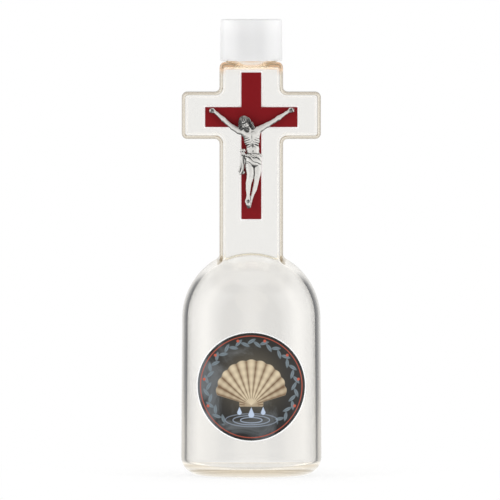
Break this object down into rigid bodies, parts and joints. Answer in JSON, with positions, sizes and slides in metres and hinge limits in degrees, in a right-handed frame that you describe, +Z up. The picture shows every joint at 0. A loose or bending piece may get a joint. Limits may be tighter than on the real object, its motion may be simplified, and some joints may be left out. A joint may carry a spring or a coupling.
{
  "type": "holy water bottle",
  "caption": "Clear bottle with a round domed body and a hollow cross for a neck, a white screw cap, a small crucifix on the cross and a round label on the body.",
  "frame": {"origin": "middle of the base, on the surface that the bottle stands on", "axes": "+Z up along the bottle's axis, -Y towards the front with the crucifix and the label, +X to the right seen from the front"},
  "size_m": [0.0608, 0.0612, 0.1971],
  "materials": {
    "clear_glass": "clear, polished",
    "white_cap": "smooth satin gloss",
    "liner": "matte foam",
    "white_backing": "matte film",
    "red_enamel": "satin enamel",
    "cast_silver": "cast, bright on the high parts and dark in the hollows",
    "nail_steel": "darkened",
    "printed_film": "printed, satin"
  },
  "bodies": {
    "bottle": {"bottle": "clear_glass", "cross_backing": "white_backing", "red_cross": "red_enamel", "corpus": "cast_silver", "left_hand_nail": "nail_steel", "right_hand_nail": "nail_steel", "foot_nail": "nail_steel", "label_backing": "white_backing", "label_print": "printed_film"},
    "liner": {"cap_liner": "liner"},
    "cap": {"screw_cap": "white_cap"}
  },
  "joints": [
    {"name": "cap_rise", "type": "slide", "parent": "bottle", "child": "liner", "axis": [0, 0, 1], "range_m": [0, 0.01906]},
    {"name": "cap_turn", "type": "hinge", "parent": "liner", "child": "cap", "pos_m": [0, 0, 0.188], "axis": [0, 0, 1], "range_deg": [0, 2160]}
  ],
  "couplings": [
    {"joint": "cap_rise", "follows": "cap_turn", "m_per_rad": 0.00050532}
  ]
}
